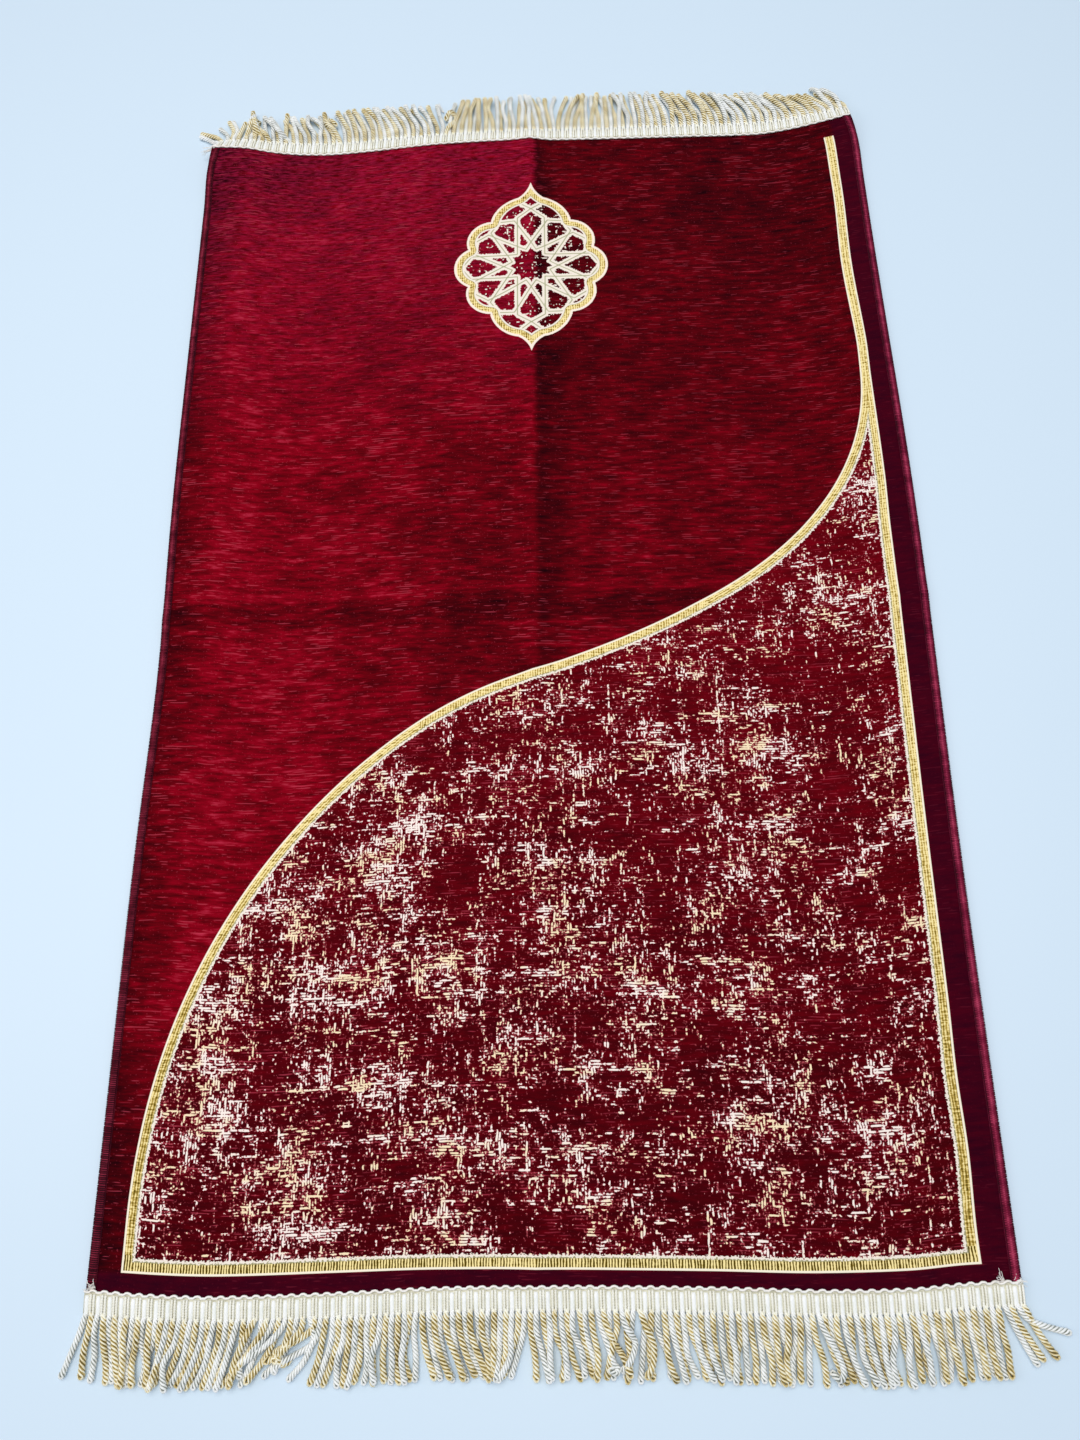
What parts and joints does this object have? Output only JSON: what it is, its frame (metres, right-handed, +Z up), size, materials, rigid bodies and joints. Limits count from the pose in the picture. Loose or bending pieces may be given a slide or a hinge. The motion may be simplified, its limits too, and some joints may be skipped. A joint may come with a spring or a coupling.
{
  "type": "prayer rug",
  "caption": "Rectangular velvet-pile prayer rug lying flat, with overlocked sides and a corded fringe on both ends.",
  "frame": {"origin": "on the floor under the middle of the whole rug, fringes included", "axes": "+X to the right across the rug, +Y along it away from the near end, +Z up"},
  "size_m": [0.7213, 1.2134, 0.0154],
  "materials": {
    "crimson_pile": "matt chenille velvet",
    "overlock_yarn": "matt yarn",
    "fringe_yarn": "twisted yarn, soft sheen"
  },
  "bodies": {
    "root": {"rug_cloth": "crimson_pile", "binding_left": "overlock_yarn", "binding_right": "overlock_yarn", "fringe_near": "fringe_yarn", "fringe_far": "fringe_yarn"}
  },
  "joints": []
}
